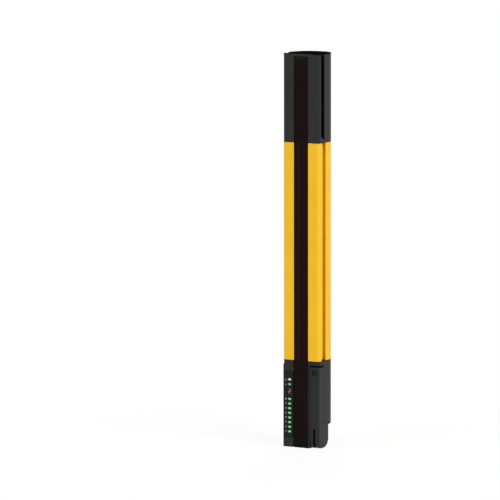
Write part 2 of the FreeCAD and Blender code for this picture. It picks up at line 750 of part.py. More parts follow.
def display_board():
    body = new_body("display_board")
    board = new_sketch(body, "XZ_Plane", "depth / 2 - front_wall - wall")
    draw_box(board, "-width / 2 + wall * 2", "-chassis_half - clearance",
             "zone_low - light_tall", "amber_height + light_tall")
    pad(body, board, "display_board_thickness", reverse=True)


def board_connector():
    """Header between the display board and the receiver board."""
    body = new_body("board_connector")
    rear = "front_wall + wall + display_board_thickness"
    header = new_sketch(body, "XZ_Plane", f"depth / 2 - ({rear})")
    draw_box(header, "-light_across + light_width / 2", "-light_across - light_width / 2",
             "digit_height - digit_tall", "digit_height + digit_tall")
    pad(body, header, f"board_front - ({rear})", reverse=True)


# ---------------------------------------------------------------- disconnect plug

def disconnect_plug():
    body = new_body("disconnect_plug")
    side = new_sketch(body, "YZ_Plane", "plug_edge")
    draw_outline(side, [(FRONT, "0"), (behind("step_depth"), "0"),
                        (behind("step_depth"), "nose_height"),
                        (behind("plug_depth"), "nose_height"),
                        (behind("plug_depth"), "plug_top"), (FRONT, "plug_top")])
    pad(body, side, "width / 2 - plug_edge")
    fillet(body, edges_at(body, y=FRONT, z="0"), "nose_radius_front")
    fillet(body, edges_at(body, y=behind("step_depth"), z="0"), "nose_radius_back")
    fillet(body, edges_at(body, x="width / 2", y=FRONT), "plug_corner")
    cut_relief(body)

    left = "nose_slot_across - nose_slot_width / 2"
    right = "nose_slot_across + nose_slot_width / 2"
    slot = new_sketch(body, "XZ_Plane", "depth / 2")
    draw_box(slot, left, right, "-wall", "nose_slot_high")
    pocket(body, slot, "nose_slot_sink")
    under = new_sketch(body, "XY_Plane", "-wall")
    draw_box(under, left, right, FRONT, behind("step_depth / 2"))
    pocket(body, under, "wall * 2 + nose_slot_width / 2", reverse=True)

    recess = new_sketch(body, "XZ_Plane", "depth / 2")
    draw_circle(recess, "plug_screw_across", "plug_screw_height", "plug_screw_recess_radius")
    pocket(body, recess, "plug_screw_recess")
    hole = new_sketch(body, "XZ_Plane", "depth / 2")
    draw_circle(hole, "plug_screw_across", "plug_screw_height", "plug_screw_radius + clearance")
    pocket(body, hole, "plug_depth")

    groove = new_sketch(body, "XZ_Plane", "depth / 2 - plug_depth")
    draw_seal(groove)
    pocket(body, groove, "seal", reverse=True)
    chamber = new_sketch(body, "XZ_Plane", "depth / 2 - plug_depth")
    draw_contact(chamber, "contact_low", "sleeve_side / 2")
    repeat(body, pocket(body, chamber, "plug_depth - wall", reverse=True),
           "Z_Axis", "contact_pitch", "contact_rows")


def draw_seal(sketch):
    draw_box(sketch, "socket_left", "socket_right", "socket_low", "socket_high")
    draw_box(sketch, "socket_left + clearance * 4", "socket_right - clearance * 4",
             "socket_low + clearance * 4", "socket_high - clearance * 4")


def draw_contact(sketch, height, half):
    """A pair of squares, one in each contact column."""
    for column in ("contact_left", "contact_left + contact_step"):
        draw_box(sketch, f"{column} - {half}", f"{column} + {half}",
                 f"{height} - {half}", f"{height} + {half}")


def captive_screw():
    body = new_body("captive_screw")
    seat = "depth / 2 - plug_screw_recess"
    head = new_sketch(body, "XZ_Plane", seat)
    draw_circle(head, "plug_screw_across", "plug_screw_height", "plug_screw_head_radius")
    pad(body, head, "plug_screw_head")
    chamfer(body, edges_at(body, y=f"-({seat}) - plug_screw_head"), "plug_screw_head / 3")
    shank = new_sketch(body, "XZ_Plane", seat)
    draw_circle(shank, "plug_screw_across", "plug_screw_height", "plug_screw_radius")
    pad(body, shank, "plug_screw_length", reverse=True)
    cut_drive(body, "XZ_Plane", f"{seat} + plug_screw_head", "plug_screw_across",
              "plug_screw_height", "plug_screw_head_radius * 0.66", "plug_screw_head * 0.6")


def plug_seal():
    body = new_body("plug_seal")
    ring = new_sketch(body, "XZ_Plane", "depth / 2 - plug_depth + seal")
    draw_seal(ring)
    pad(body, ring, "split_depth - plug_depth + seal", reverse=True)


def plug_contacts():
    """Square sleeves in the plug, each round one pin."""
    body = new_body("plug_contacts")
    sleeve = new_sketch(body, "XZ_Plane", "depth / 2 - wall")
    draw_contact(sleeve, "contact_low", "sleeve_side / 2")
    first = pad(body, sleeve, "plug_depth - wall - clearance", reverse=True)
    repeat(body, first, "Z_Axis", "contact_pitch", "contact_rows")
    bore = new_sketch(body, "XZ_Plane", "depth / 2 - plug_depth + clearance")
    draw_contact(bore, "contact_low", "pin_side / 2")
    cut = pocket(body, bore, "plug_depth - wall * 2", reverse=True)
    repeat(body, cut, "Z_Axis", "contact_pitch", "contact_rows")


def socket_block():
    body = new_body("socket_block")
    block = new_sketch(body, "XZ_Plane", "depth / 2 - split_depth")
    draw_box(block, "socket_left", "socket_right", "socket_low", "socket_high")
    pad(body, block, "wall * 3", reverse=True)
    bore = new_sketch(body, "XZ_Plane", "depth / 2 - split_depth")
    draw_contact(bore, "contact_low", "pin_side / 2")
    repeat(body, pocket(body, bore, "wall * 3"), "Z_Axis", "contact_pitch", "contact_rows")


def contact_pins():
    body = new_body("contact_pins")
    pin = new_sketch(body, "XZ_Plane", "depth / 2 - wall * 2")
    draw_contact(pin, "contact_low", "pin_side / 2")
    first = pad(body, pin, "split_depth + wall * 1.5", reverse=True)
    repeat(body, first, "Z_Axis", "contact_pitch", "contact_rows")


# ---------------------------------------------------------------- optics and boards

def optics_chassis():
    body = new_body("optics_chassis", "chassis_low")
    block = new_sketch(body)
    draw_box(block, "-chassis_half", "chassis_half",
             behind("front_wall + clearance + lens_plate"), behind("board_front"))
    pad(body, block, "chassis_high - chassis_low")
    light_bore = new_sketch(body, "XZ_Plane", "depth / 2")
    draw_circle(light_bore, "0", "beam_first - chassis_low", "lens_radius")
    repeat(body, pocket(body, light_bore, "board_front"), "Z_Axis", "beam_pitch", "beam_count")
    pilot = new_sketch(body, "YZ_Plane", "-chassis_half")
    draw_circle(pilot, behind("cap_screw_depth"), "cap_screw_height - chassis_low",
                "cap_screw_radius")
    pocket(body, pilot, "chassis_half / 2", reverse=True)


def lens_strip():
    body = new_body("lens_strip", "chassis_low")
    strip = new_sketch(body, "XZ_Plane", "depth / 2 - front_wall - clearance")
    draw_box(strip, "-chassis_half + clearance", "chassis_half - clearance",
             "0", "chassis_high - chassis_low")
    pad(body, strip, "lens_plate", reverse=True)
    crown = new_sketch(body, "XZ_Plane", "depth / 2 - front_wall - clearance")
    draw_circle(crown, "0", "beam_first - chassis_low", "lens_radius - clearance * 4")
    lens = pad(body, crown, "lens_bulge")
    repeat(body, lens, "Z_Axis", "beam_pitch", "beam_count")


def receiver_board():
    body = new_body("receiver_board", "chassis_low")
    board = new_sketch(body, "XZ_Plane", "depth / 2 - board_front")
    draw_box(board, "-board_half", "board_half", "0", "board_high - chassis_low")
    pad(body, board, "board_thickness", reverse=True)


def photodiodes():
    body = new_body("photodiodes", "beam_first")
    diode = new_sketch(body, "XZ_Plane", "depth / 2 - board_front")
    draw_box(diode, "-diode_side / 2", "diode_side / 2", "-diode_side / 2", "diode_side / 2")
    repeat(body, pad(body, diode, "diode_thickness"), "Z_Axis", "beam_pitch", "beam_count")


def processor_chips():
    body = new_body("processor_chips", "bar_length / 4")
    chip = new_sketch(body, "XZ_Plane", "depth / 2 - board_front - board_thickness")
    draw_box(chip, "-chip_side / 2", "chip_side / 2", "0", "chip_side")
    repeat(body, pad(body, chip, "chip_thickness", reverse=True),
           "Z_Axis", "chip_side * 4", "5")


def shell_screws():
    """Two screws from inside the rear shell up into the extrusion's ports."""
    body = new_body("shell_screws", "bottom_height - gasket - flange")
    heads = new_sketch(body)
    for side in ("-", ""):
        draw_circle(heads, side + "port_across", "port_back", "port_bore * 1.8")
    pad(body, heads, "port_bore", reverse=True)
    shanks = new_sketch(body)
    for side in ("-", ""):
        draw_circle(shanks, side + "port_across", "port_back", "port_bore - clearance / 2")
    pad(body, shanks, "flange + wall * 6")


def ground_clip():
    """Sprung strip that earths the board to the extrusion's back wall."""
    body = new_body("ground_clip", "bar_length / 3")
    strip = new_sketch(body, "YZ_Plane", "-clip_half")
    base = behind("board_front + board_thickness")
    leaf = "clearance * 3"
    foot = "(chip_side / 2)"
    touch = "(cavity_back - clearance / 2)"
    draw_outline(strip, [(base, "0"), (f"{base} + {leaf}", "0"),
                         (f"{base} + {leaf}", foot), (touch, f"{foot} * 3"),
                         (touch, f"{foot} * 3 + {leaf} * 2"),
                         (f"{touch} - {leaf}", f"{foot} * 3 + {leaf} * 2"),
                         (base, f"{foot} + {leaf}")])
    pad(body, strip, "clip_half * 2")


housing_profile()
front_window()
window_gasket()
top_end_cap()
end_gasket("top_gasket", "bar_length - cap_height")
end_gasket("bottom_gasket", "bottom_height - gasket")
cap_screw()
rear_shell()
front_shell()
display_cover()
status_light("status_light_amber", "amber_height")
status_light("status_light_green", "green_height")
zone_light_guide()
digit_display()
display_leds()
display_board()
board_connector()
disconnect_plug()
captive_screw()
plug_seal()
plug_contacts()
socket_block()
contact_pins()
optics_chassis()
lens_strip()
receiver_board()
photodiodes()
processor_chips()
shell_screws()
ground_clip()

doc.recompute()
for item in doc.Objects:
    if {"Invalid", "Error"} & set(item.State):
        raise RuntimeError(f"{item.Label} failed: {item.State}")
os.makedirs("parts", exist_ok=True)
for body in SUB_PARTS:
    shape = body.Shape
    if shape.isNull() or not shape.isValid():
        raise RuntimeError(f"{body.Label} has no sound shape")
    shape.exportStep(f"parts/{body.Label}.step")
    print(f"{body.Label}: {len(shape.Solids)} solid(s), {shape.Volume:.0f} mm3")
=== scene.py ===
"""Finish, indicators and studio for the receiver bar of a safety light curtain."""

import math

import bpy
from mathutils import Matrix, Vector


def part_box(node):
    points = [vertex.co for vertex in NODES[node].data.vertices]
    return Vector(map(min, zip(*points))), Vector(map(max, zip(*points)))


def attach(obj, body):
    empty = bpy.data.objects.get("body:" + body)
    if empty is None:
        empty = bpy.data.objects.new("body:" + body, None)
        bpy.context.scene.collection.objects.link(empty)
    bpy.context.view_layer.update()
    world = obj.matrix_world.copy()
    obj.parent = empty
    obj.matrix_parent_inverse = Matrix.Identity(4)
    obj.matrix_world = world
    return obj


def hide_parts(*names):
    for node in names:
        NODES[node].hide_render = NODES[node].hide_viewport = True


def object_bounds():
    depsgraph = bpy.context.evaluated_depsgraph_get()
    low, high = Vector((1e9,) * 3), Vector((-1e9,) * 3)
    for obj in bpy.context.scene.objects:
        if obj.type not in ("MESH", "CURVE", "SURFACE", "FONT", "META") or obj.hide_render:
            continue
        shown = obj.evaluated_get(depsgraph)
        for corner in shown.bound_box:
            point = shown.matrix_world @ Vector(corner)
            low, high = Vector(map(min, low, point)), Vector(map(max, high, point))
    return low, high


bl_info = {
    "name": "Light Curtain Finish",
    "version": (1, 0, 0),
    "blender": (4, 5, 0),
    "location": "3D View > Sidebar > Curtain",
    "description": "Finishes the bar of a safety light curtain and sets it in a studio",
    "category": "Object",
}

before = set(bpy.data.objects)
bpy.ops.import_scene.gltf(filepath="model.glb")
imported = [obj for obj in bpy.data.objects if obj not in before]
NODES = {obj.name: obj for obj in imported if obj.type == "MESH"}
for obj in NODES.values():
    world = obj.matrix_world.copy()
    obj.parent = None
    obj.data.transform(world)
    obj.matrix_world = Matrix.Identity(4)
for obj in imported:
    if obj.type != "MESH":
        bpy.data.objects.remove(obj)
CAD_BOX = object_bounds()
MM = 0.001
ZONES = 8


# ------------------------------------------------------------------ shader maths


class Wire:
    """One shader socket. Sums and products of wires add Math nodes to the material."""

    def __init__(self, shader, socket):
        self.shader = shader
        self.socket = socket

    def maths(self, operation, first, second=None):
        values = {0: first} if second is None else {0: first, 1: second}
        return self.shader.node("Math", values, operation=operation)

    def __add__(self, other):
        return self.maths("ADD", self, other)

    def __radd__(self, other):
        return self.maths("ADD", other, self)

    def __sub__(self, other):
        return self.maths("SUBTRACT", self, other)

    def __rsub__(self, other):
        return self.maths("SUBTRACT", other, self)

    def __mul__(self, other):
        return self.maths("MULTIPLY", self, other)

    def __rmul__(self, other):
        return self.maths("MULTIPLY", other, self)

    def __truediv__(self, other):
        return self.maths("DIVIDE", self, other)

    def __rtruediv__(self, other):
        return self.maths("DIVIDE", other, self)

    def __pow__(self, other):
        return self.maths("POWER", self, other)

    def __rpow__(self, other):
        return self.maths("POWER", other, self)

    def __abs__(self):
        return self.maths("ABSOLUTE", self)

    def min(self, other):
        return self.maths("MINIMUM", self, other)

    def max(self, other):
        return self.maths("MAXIMUM", self, other)

    def step(self, low, high):
        """0 below low, 1 above high, and a soft ramp between them."""
        return self.shader.node("MapRange", {"Value": self, "From Min": low, "From Max": high},
                                interpolation_type="SMOOTHSTEP", clamp=True)


class NodeTree:
    """Nodes of a material or a world, added by type, settings and values."""

    def __init__(self, tree):
        self.tree = tree

    def feed(self, socket, value):
        """Link a wire to a socket, or set the socket to a value. A colour gets its alpha."""
        if isinstance(value, Wire):
            self.tree.links.new(value.socket, socket)
        elif socket.type == "RGBA" and len(value) == 3:
            socket.default_value = (*value, 1.0)
        else:
            socket.default_value = value

    def node(self, kind, values=(), output=0, **settings):
        """Add a node: its settings first, then the values or wires of its sockets."""
        made = self.tree.nodes.new("ShaderNode" + kind)
        for name, setting in settings.items():
            setattr(made, name, setting)
        for key, value in dict(values).items():
            self.feed(made.inputs[key], value)
        return Wire(self, made.outputs[output])

    def seen(self):
        """1 for rays from the camera, for mirrored rays and for rays through glass."""
        rays = [self.node("LightPath", output=name)
                for name in ("Is Camera Ray", "Is Glossy Ray", "Is Transmission Ray")]
        return rays[0].max(rays[1]).max(rays[2])


class Shader(NodeTree):
    """A material with one Principled surface, built from wires."""

    def __init__(self, name, colour, roughness=0.5, metallic=0.0, specular=0.5):
        self.material = bpy.data.materials.new(name)
        self.material.use_nodes = True
        super().__init__(self.material.node_tree)
        self.surface = self.tree.nodes["Principled BSDF"]
        self.set("Base Color", colour)
        self.set("Roughness", roughness)
        self.set("Metallic", metallic)
        self.set("Specular IOR Level", specular)
        self.material.diffuse_color = (*colour, 1.0)

    def set(self, name, value):
        self.feed(self.surface.inputs[name], value)

    def place(self):
        """Position on the object, in metres."""
        return self.node("TexCoord", output="Object")

    def axes(self):
        """X, Y and Z of the position on the object, each a wire in metres."""
        place = self.place()
        return [self.node("SeparateXYZ", {0: place}, output=axis) for axis in range(3)]

    def noise(self, size, detail=2.0, stretch=None):
        """Noise of about 0 to 1 whose features are of the given size in metres."""
        place = self.place()
        if stretch is not None:
            place = self.node("Mapping", {"Vector": place, "Scale": stretch})
        return self.node("TexNoise", {"Vector": place, "Scale": 1 / size, "Detail": detail})

    def blend(self, mask, first, second):
        """Colour that goes from first to second as the mask goes from 0 to 1."""
        return self.node("Mix", {0: mask, 6: first, 7: second}, output=2, data_type="RGBA",
                         clamp_factor=True)

    def relief(self, height, distance):
        """Bump from a height wire, whose 1 stands a distance in metres above its 0."""
        bump = self.node("Bump", {"Height": height, "Strength": 1.0, "Distance": distance})
        self.set("Normal", bump)


def inside(wire, low, high, soft):
    """1 between two places, with soft ends."""
    return wire.step(low - soft, low) * (1.0 - wire.step(high, high + soft))


# ------------------------------------------------------------------ finishes


def powder_coat(colour):
    """Fine orange peel; the side slots are painted paler, painted light that lifts their shade.
    """
    shader = Shader("powder_coat", colour, roughness=0.4, specular=0.2)
    slot_floor, slot_mouth = 11.2 * MM, 13.6 * MM
    slot_front, slot_back = -10.6 * MM, -1.2 * MM
    soft = 0.2 * MM
    peel = shader.noise(0.7 * MM, 3.0)
    cloud = shader.noise(16 * MM, 2.0)
    deep = tuple(part * 0.96 for part in colour)
    # Paler colour of the side slots: painted light.
    slot_light = (colour[0] * 1.06, colour[1] * 1.18, colour[2] * 1.6)
    across, along, _ = shader.axes()
    in_slot = (inside(abs(across), slot_floor, slot_mouth, soft)
               * inside(along, slot_front, slot_back, soft))
    coat = shader.blend(cloud.step(0.35, 0.7), deep, colour)
    # Painted light: the side slots take the paler colour.
    shader.set("Base Color", shader.blend(in_slot, coat, slot_light))
    shader.set("Roughness", 0.35 + peel * 0.1)
    shader.relief(peel, 0.01 * MM)
    return shader.material


def moulded_black(name, colour, specular):
    """Black plastic with a fine grain and faint, tall streaks of flow."""
    shader = Shader(name, colour, roughness=0.45, specular=specular)
    grain = shader.noise(0.22 * MM, 3.0)
    flow = shader.noise(9 * MM, 2.0, (1.0, 1.0, 0.3))
    lighter = tuple(part * 1.25 + 0.001 for part in colour)
    shader.set("Base Color", shader.blend(flow.step(0.3, 0.75), colour, lighter))
    shader.set("Roughness", 0.4 + grain * 0.16)
    shader.relief(grain, 0.012 * MM)
    return shader.material


def tinted_window(colour, profile_low, profile_high, optics_high):
    """Deep red tint: redder between the ends of the bright profile, greyer above the optics,
    with a painted highlight line where the lens strip's edge shows and painted shade along both
    long edges.
    """
    shader = Shader("tinted_window", colour, roughness=0.12, specular=0.06)
    right_start, right_full = -1.5 * MM, 2.5 * MM
    highlight_line_left, highlight_line_right = -2.35 * MM, -1.7 * MM
    rim_start, rim_full = 4.4 * MM, 4.9 * MM
    across, _, up = shader.axes()
    framed = inside(up, profile_low, profile_high, 0.5 * MM)
    right = across.step(right_start, right_full)
    dim = (colour[0] * 0.5, colour[1] * 1.25, colour[2] * 1.5)
    warm = (framed * 0.8 + right * 0.3).min(1.0)
    tint = shader.blend(warm, dim, colour)
    # Painted highlight: a lighter line where the lens strip's edge shows through.
    highlight_line = inside(across, highlight_line_left, highlight_line_right, 0.25 * MM) * framed
    lit_highlight_line = (colour[0] * 1.9, colour[1] * 5.0, colour[2] * 8.0)
    tint = shader.blend(highlight_line * 0.8, tint, lit_highlight_line)
    end = up.step(optics_high + 0.2 * MM, optics_high + 2.2 * MM)
    tint = shader.blend(end, tint, (0.008, 0.0062, 0.0045))
    # Painted shade along both long edges.
    edge_shade = abs(across).step(rim_start, rim_full)
    shader.set("Base Color", shader.blend(edge_shade, tint, (0.003, 0.0005, 0.0002)))
    smear = shader.noise(14 * MM, 3.0, (1.0, 1.0, 0.25))
    shader.set("Roughness", 0.08 + smear * 0.1)
    shader.relief(smear, 0.01 * MM)
    return shader.material


def satin_film(colour, glow, strip_low, strip_high, centre):
    """Printed cover, dark green on a strip round the zone lights, where it glows dimly."""
    shader = Shader("satin_film", colour, roughness=0.4, specular=0.05)
    full, gone = 1.2 * MM, 2.6 * MM
    across, _, up = shader.axes()
    strip = (inside(up, strip_low, strip_high, 0.8 * MM)
             * (1.0 - abs(across - centre).step(full, gone)))
    shader.set("Base Color", shader.blend(strip, colour, (0.001, 0.004, 0.001)))
    shader.set("Emission Color", shader.blend(strip, (0.0, 0.0, 0.0), glow))
    shader.set("Emission Strength", 1.0)
    grain = shader.noise(0.18 * MM, 2.0)
    shader.set("Roughness", 0.36 + grain * 0.12)
    shader.relief(grain, 0.008 * MM)
    return shader.material


def lit_pipe(name, core, rim, half_wide, half_tall, centre, first_up, pitch=1.0):
    """Light pipe tips, brightest at their middles, a pitch apart from the first one upwards.

    The default pitch is far longer than the bar, for a light that stands alone.
    """
    shader = Shader(name, (0.01, 0.02, 0.01), roughness=0.3, specular=0.1)
    across, _, up = shader.axes()
    cell = shader.node("Math", {0: (up - first_up) / pitch + 0.5}, operation="FRACT")
    off_middle = abs(cell - 0.5) * (pitch / half_tall)
    off_side = abs(across - centre) / half_wide
    edge = off_side.max(off_middle).step(0.3, 1.0)
    shader.set("Emission Color", shader.blend(edge, core, rim))
    shader.set("Emission Strength", 1.0)
    shader.set("Roughness", 0.25 + shader.noise(0.4 * MM) * 0.1)
    return shader.material


def plain_finish(name, colour, grain_size, roughness, metallic=0.0, specular=0.3, glow=0.0):
    """Fine-grained finish for screws, seals, boards, ink and other small pieces."""
    shader = Shader(name, colour, roughness, metallic, specular)
    grain = shader.noise(grain_size, 3.0)
    darker = tuple(part * 0.72 for part in colour)
    shader.set("Base Color", shader.blend(grain.step(0.3, 0.75), darker, colour))
    shader.set("Roughness", roughness - 0.06 + grain * 0.12)
    shader.set("Emission Color", shader.blend(grain, colour, darker))
    shader.set("Emission Strength", glow)
    shader.relief(grain, 0.01 * MM)
    return shader.material


def dress(material, *names):
    """Give loaded nodes a material in place of their own."""
    for name in names:
        slots = NODES[name].data.materials
        slots.clear()
        slots.append(material)


# ------------------------------------------------------------------ modelling helpers


def pick_nothing():
    """Leave edit mode and deselect everything, the loaded nodes included."""
    if bpy.context.object and bpy.context.object.mode != "OBJECT":
        bpy.ops.object.mode_set(mode="OBJECT")
    bpy.ops.object.select_all(action="DESELECT")


def pick(piece):
    """Make a piece the only one selected, and the active one."""
    pick_nothing()
    piece.select_set(True)
    bpy.context.view_layer.objects.active = piece


def settle(piece, name, material):
    """Put a piece's place into its mesh, name it, dress it and let it ride on the bar."""
    pick(piece)
    bpy.ops.object.transform_apply(location=True, rotation=True, scale=True)
    piece.name = name
    piece.data.name = name
    piece.data.materials.clear()
    piece.data.materials.append(material)
    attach(piece, "root")


def middle(node):
    """Middle of a node's box, in metres."""
    low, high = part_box(node)
    return (Vector(low) + Vector(high)) / 2


def shift(piece, wanted, offset):
    """Move the vertices that a test picks by their place, in mm."""
    pick(piece)
    bpy.ops.object.mode_set(mode="EDIT")
    bpy.ops.mesh.select_all(action="DESELECT")
    bpy.ops.object.mode_set(mode="OBJECT")
    for vertex in piece.data.vertices:
        vertex.select = wanted(vertex.co / MM)
    bpy.ops.object.mode_set(mode="EDIT")
    bpy.ops.transform.translate(value=offset)
    bpy.ops.object.mode_set(mode="OBJECT")


def repaint(piece, material, wanted):
    """Give the faces that a test picks, by their middle in mm and their normal, a material."""
    piece.data.materials.append(material)
    last = len(piece.data.materials) - 1
    for face in piece.data.polygons:
        if wanted(Vector(face.center) / MM, face.normal):
            face.material_index = last


def toward(azimuth, elevation):
    """Direction out from the bar: azimuth 0 is its front, 90 degrees its right side."""
    flat = math.cos(elevation)
    return Vector((math.sin(azimuth) * flat, -math.cos(azimuth) * flat, math.sin(elevation)))


def softened(node, name, material, width, segments=2, cuts=()):
    """Copy of a moulded or drawn part with its hard corners rounded, in place of the part.

    Cuts are (axis, place) pairs, in mm: planes that part the faces for repaint.
    """
    pick_nothing()
    piece = bpy.data.objects.new(name, NODES[node].data.copy())
    bpy.context.collection.objects.link(piece)
    pick(piece)
    bpy.ops.object.mode_set(mode="EDIT")
    bpy.ops.mesh.select_all(action="SELECT")
    bpy.ops.mesh.remove_doubles(threshold=0.001 * MM)
    bpy.ops.mesh.dissolve_limited(angle_limit=math.radians(0.5))
    bpy.ops.object.mode_set(mode="OBJECT")

    rounding = piece.modifiers.new("rounding", "BEVEL")
    rounding.width = width
    rounding.segments = segments
    rounding.limit_method = "ANGLE"
    rounding.angle_limit = math.radians(35)
    rounding.use_clamp_overlap = True
    bpy.ops.object.modifier_apply(modifier=rounding.name)

    bpy.ops.object.mode_set(mode="EDIT")
    for axis, place in cuts:
        plane = Vector([float(other == axis) for other in "xyz"])
        bpy.ops.mesh.select_all(action="SELECT")
        bpy.ops.mesh.bisect(plane_co=plane * place * MM, plane_no=plane)
    bpy.ops.object.mode_set(mode="OBJECT")

    bpy.ops.object.shade_smooth_by_angle(angle=math.radians(30))
    level = piece.modifiers.new("level", "WEIGHTED_NORMAL")
    level.keep_sharp = True
    bpy.ops.object.modifier_apply(modifier=level.name)
    settle(piece, name, material)
    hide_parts(node)
    return piece


# ------------------------------------------------------------------ sizes and colours


class CurtainColours(bpy.types.PropertyGroup):
    yellow: bpy.props.FloatVectorProperty(
        name="Yellow", description="Powder coat of the profile", subtype="COLOR",
        default=(0.79, 0.455, 0.015), min=0, max=1)
    black: bpy.props.FloatVectorProperty(
        name="Black", description="Moulded end cap, base and plug", subtype="COLOR",
        default=(0.0125, 0.0125, 0.0127), min=0, max=1)
    window: bpy.props.FloatVectorProperty(
        name="Window", description="Tint of the front window", subtype="COLOR",
        default=(0.0102, 0.0017, 0.0009), min=0, max=1)
    cover: bpy.props.FloatVectorProperty(
        name="Cover", description="Film of the display cover", subtype="COLOR",
        default=(0.013, 0.014, 0.0135), min=0, max=1)
    green: bpy.props.FloatVectorProperty(
        name="Green light", description="Lit zone and status lights", subtype="COLOR",
        default=(0.38, 0.6, 0.4), min=0, max=1)
    amber: bpy.props.FloatVectorProperty(
        name="Amber light", description="Lit status light", subtype="COLOR",
        default=(0.85, 0.85, 0.62), min=0, max=1)
    digit: bpy.props.FloatVectorProperty(
        name="Digit", description="Lit bars of the digit", subtype="COLOR",
        default=(0.3, 0.2, 0.13), min=0, max=1)


class CurtainStudio(bpy.types.PropertyGroup):
    azimuth: bpy.props.FloatProperty(
        name="Azimuth", description="Camera's turn to the bar's right", subtype="ANGLE",
        default=math.radians(29.06))
    elevation: bpy.props.FloatProperty(
        name="Elevation", description="Camera's height above the horizon", subtype="ANGLE",
        default=math.radians(7.19))
    distance: bpy.props.FloatProperty(
        name="Distance", description="Camera to its target on the bar", unit="LENGTH",
        default=3.312)
    target: bpy.props.FloatProperty(
        name="Target", description="Height on the bar at which the camera aims", unit="LENGTH",
        default=0.1343)
    lens: bpy.props.FloatProperty(
        name="Lens", description="Focal length on a 36 mm sensor", subtype="DISTANCE_CAMERA",
        default=350.7)
    aside: bpy.props.FloatProperty(
        name="Aside", description="Share of the frame that the bar stands right of the middle",
        default=0.1205)


# ------------------------------------------------------------------ operators


class CURTAIN_OT_profile(bpy.types.Operator):
    """Powder coat on the aluminium profile"""
    bl_idname = "curtain.profile"
    bl_label = "Profile"

    def execute(self, context):
        colours = context.scene.curtain_colours
        softened("housing_profile", "coated_profile",
                 powder_coat(tuple(colours.yellow)), 0.12 * MM)
        return {"FINISHED"}


class CURTAIN_OT_mouldings(bpy.types.Operator):
    """Black mouldings: end cap, base shells and plug"""
    bl_idname = "curtain.mouldings"
    bl_label = "Mouldings"

    def execute(self, context):
        colours = context.scene.curtain_colours
        black = moulded_black("moulded_black", tuple(colours.black), specular=0.18)
        # Near black without sheen: painted dark shade for the cap's top and for hollows and
        # gaps.
        dark_shade = moulded_black("dark_shade_black", (0.0028, 0.0028, 0.003), specular=0.0)
        # Painted shade for the cap's slots.
        shade = moulded_black("slot_shade", (0.005, 0.005, 0.005), specular=0.1)
        self.cap(black, dark_shade, shade)
        foot = moulded_black("foot_black", (0.005, 0.0045, 0.0045), specular=0.03)
        self.base(black, dark_shade, foot)
        return {"FINISHED"}

    def cap(self, black, dark_shade, shade):
        """End cap, with painted shade in its slots, whose slanted lower ends are moved down, and
        darker painted shade on its crest and top edge.

        Places are in mm, as shift and repaint give them.
        """
        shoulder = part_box("top_end_cap")[1][2] / MM - 1
        edge = shoulder - 0.5
        crest = 9.35
        slot_floor, slot_mouth = 11.3, 13.85
        slot_front, slot_back = -10.4, -5.4
        slot_low, slot_high = 212, 215
        spare, drop = 0.4, 1.7
        cap = softened("top_end_cap", "moulded_cap", black, 0.3 * MM,
                       cuts=(("z", shoulder), ("z", edge), ("x", -crest), ("x", crest)))

        def at_slot_end(at):
            return (abs(at.x) > slot_floor - spare
                    and slot_front - spare < at.y < slot_back + spare
                    and slot_low - spare < at.z < slot_high + spare)

        def in_slot(at):
            return slot_floor < abs(at.x) < slot_mouth and slot_front < at.y < slot_back

        def is_dark_shade(at, facing):
            """Faces with painted dark shade: the crest, the top's edge beside it, and faces that
            look up there or in a slot.
            """
            upward = facing.z > 0.3
            return (at.z > shoulder or at.z > edge and (abs(at.x) > crest or upward)
                    or in_slot(at) and upward)

        shift(cap, at_slot_end, (0, 0, -drop * MM))
        # Painted shade in the slots, and darker painted shade on the crest, the top's edge and
        # upward faces there or in the slots.
        repaint(cap, shade, lambda at, facing: in_slot(at))
        repaint(cap, dark_shade, is_dark_shade)

    def base(self, black, dark_shade, foot):
        """Shells and plug: painted dark shade where they meet over the plug, in the hollow and
        in the screw's recess, and darker at the front's foot.

        Places are in mm, as repaint gives them.
        """
        window_low, window_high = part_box("front_window")
        window_foot, window_side = window_low[2] / MM, window_high[0] / MM
        plug_low, plug_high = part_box("disconnect_plug")
        plug_side, face, plug_top = plug_low[0] / MM, plug_low[1] / MM, plug_high[2] / MM
        screw, recess = middle("captive_screw") / MM, 2.4
        hollow_floor, hollow_mouth = 11.3, 13.9
        hollow_front, hollow_back = -11.2, -5.8
        hollow_low, hollow_high = 54.5, 58.5
        rear = softened("rear_shell", "moulded_rear_shell", black, 0.15 * MM)
        front = softened("front_shell", "moulded_front_shell", black,
                         0.12 * MM, cuts=(("x", -window_side), ("x", window_side),
                                          ("z", window_foot)))
        plug = softened("disconnect_plug", "moulded_plug", black, 0.2 * MM,
                        cuts=(("z", plug_top - 0.5),))

        def below_window(at, facing):
            return (abs(at.x) < window_side and at.z < window_foot - 0.01
                    and at.y < face + 0.6)

        def in_hollow(at):
            """In the slanted hollow of the right side, which crosses the top of the plug."""
            return (hollow_floor < at.x < hollow_mouth and hollow_front < at.y < hollow_back
                    and hollow_low < at.z < hollow_high)

        def over_plug(at):
            """The edge of the rear shell that stands over the plug."""
            return (plug_top - 0.1 < at.z < plug_top + 0.7 and at.x > plug_side - 0.1
                    and at.y > face + 0.1)

        def in_recess(at):
            return math.hypot(at.x - screw.x, at.z - screw.z) < recess and at.y > face + 0.1

        def on_plug_top(at):
            return at.z > plug_top - 0.5 and at.x > plug_side + 0.3

        repaint(front, foot, below_window)
        # Painted dark shade in the hollow, over the plug, in the screw's recess and on the
        # plug's top.
        repaint(rear, dark_shade, lambda at, facing: in_hollow(at) or over_plug(at))
        repaint(plug, dark_shade, lambda at, facing: in_hollow(at) or in_recess(at) or on_plug_top(at))


class CURTAIN_OT_window(bpy.types.Operator):
    """Tinted strip along the front"""
    bl_idname = "curtain.window"
    bl_label = "Window"

    def execute(self, context):
        colours = context.scene.curtain_colours
        low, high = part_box("housing_profile")
        optics_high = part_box("lens_strip")[1][2]
        tint = tinted_window(tuple(colours.window), low[2], high[2], optics_high)
        softened("front_window", "tinted_strip", tint, 0.15 * MM)
        return {"FINISHED"}


